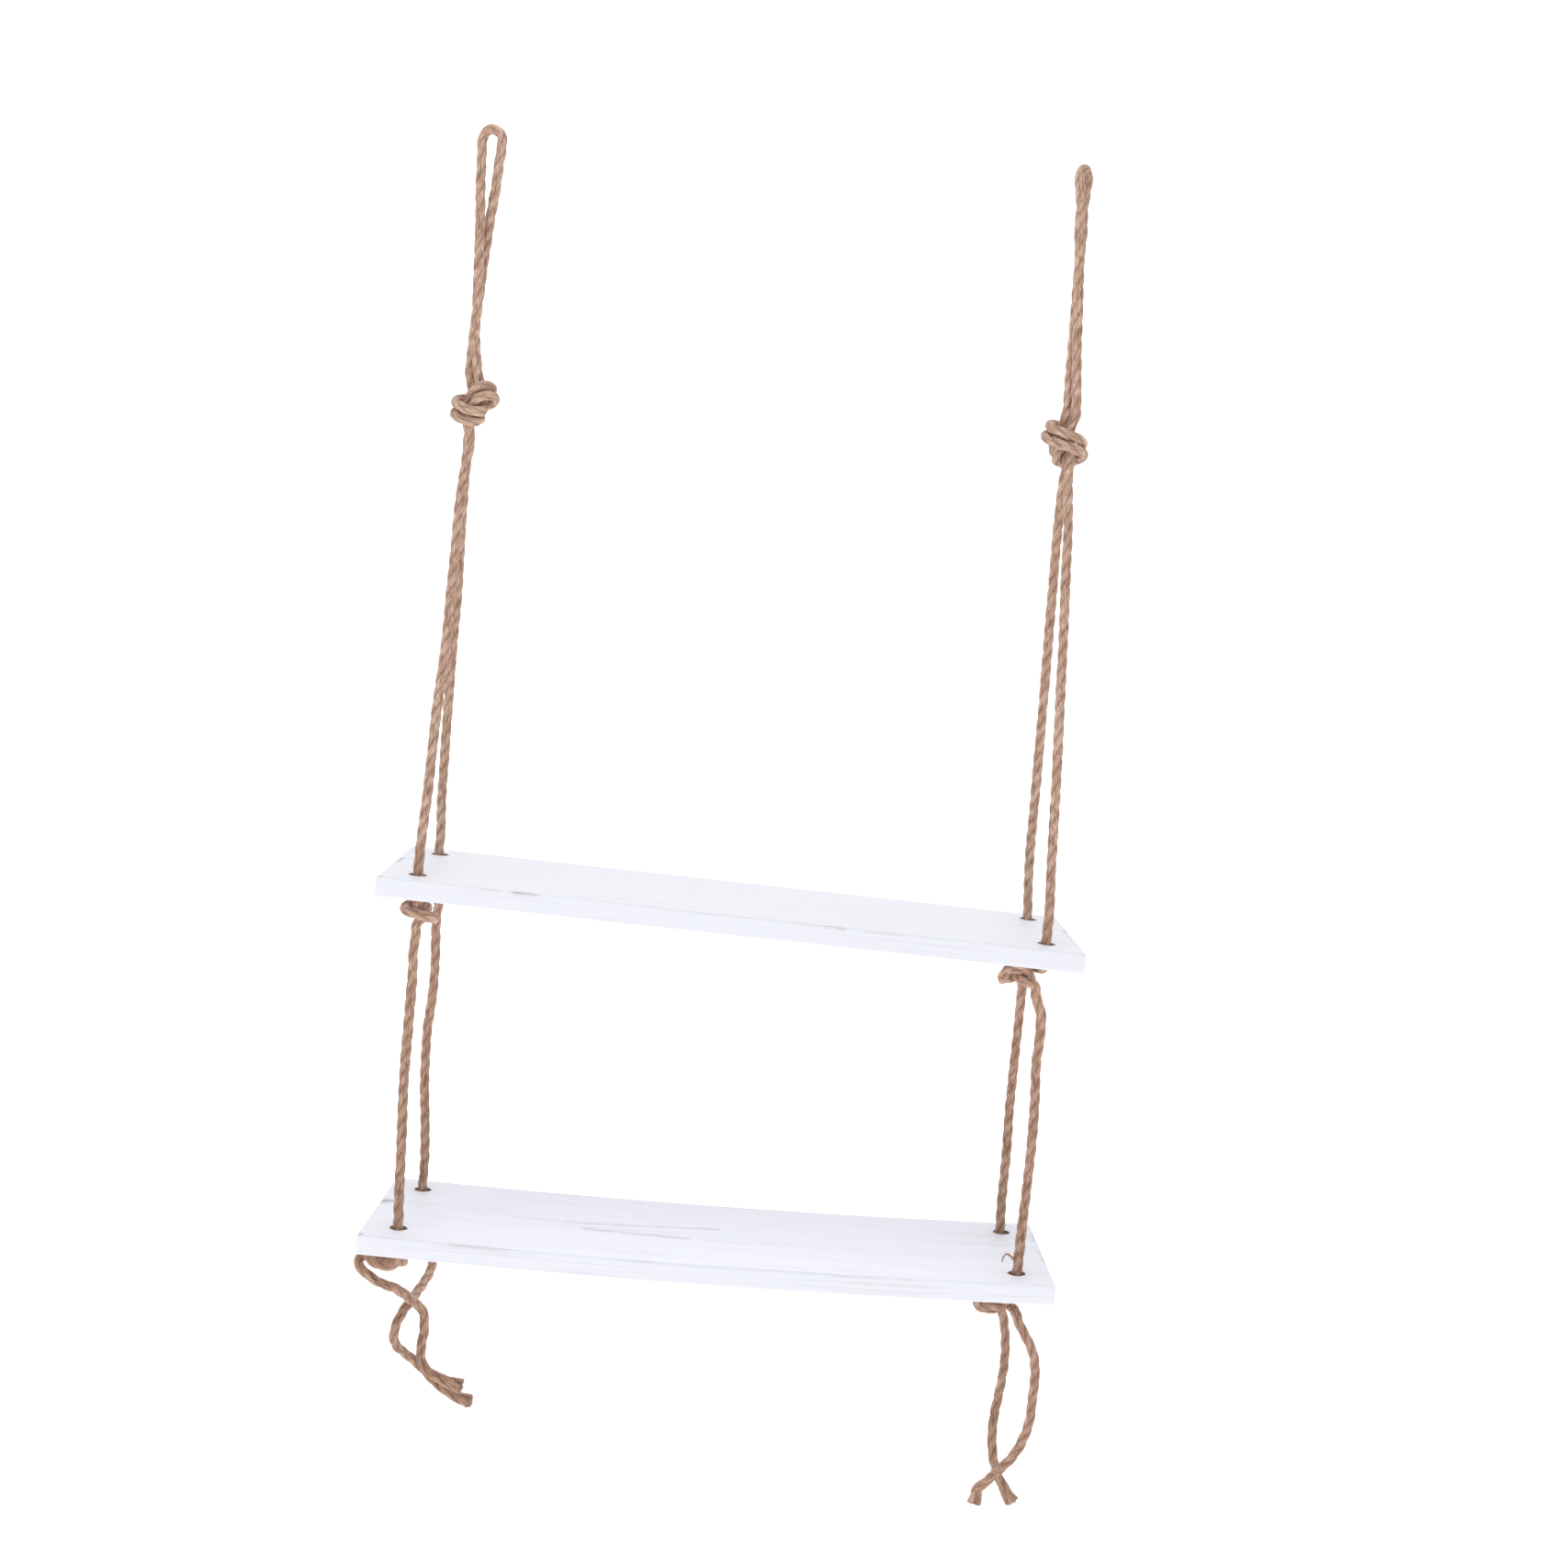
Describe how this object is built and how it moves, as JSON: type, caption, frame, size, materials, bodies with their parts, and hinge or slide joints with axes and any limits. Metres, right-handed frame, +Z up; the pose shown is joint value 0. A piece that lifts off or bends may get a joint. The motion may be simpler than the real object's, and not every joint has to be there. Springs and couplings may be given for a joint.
{
  "type": "hanging shelf",
  "caption": "Tiered hanging shelf: whitewashed boards strung on knotted jute rope, which gathers into a hanging loop at each end and leaves loose tails below.",
  "frame": {"origin": "bearing point of the left hanging loop, the inside of its top", "axes": "+X along the boards to the right loop, +Y back towards the wall, +Z up"},
  "size_m": [0.4258, 0.1395, 0.8355],
  "materials": {
    "whitewashed_wood": "matte whitewash, worn at the edges",
    "jute_rope": "matte natural jute"
  },
  "bodies": {
    "root": {"upper_board": "whitewashed_wood", "lower_board": "whitewashed_wood", "left_rope": "jute_rope", "right_rope": "jute_rope", "left_front_tail": "jute_rope", "left_back_tail": "jute_rope", "right_front_tail": "jute_rope", "right_back_tail": "jute_rope"}
  },
  "joints": []
}
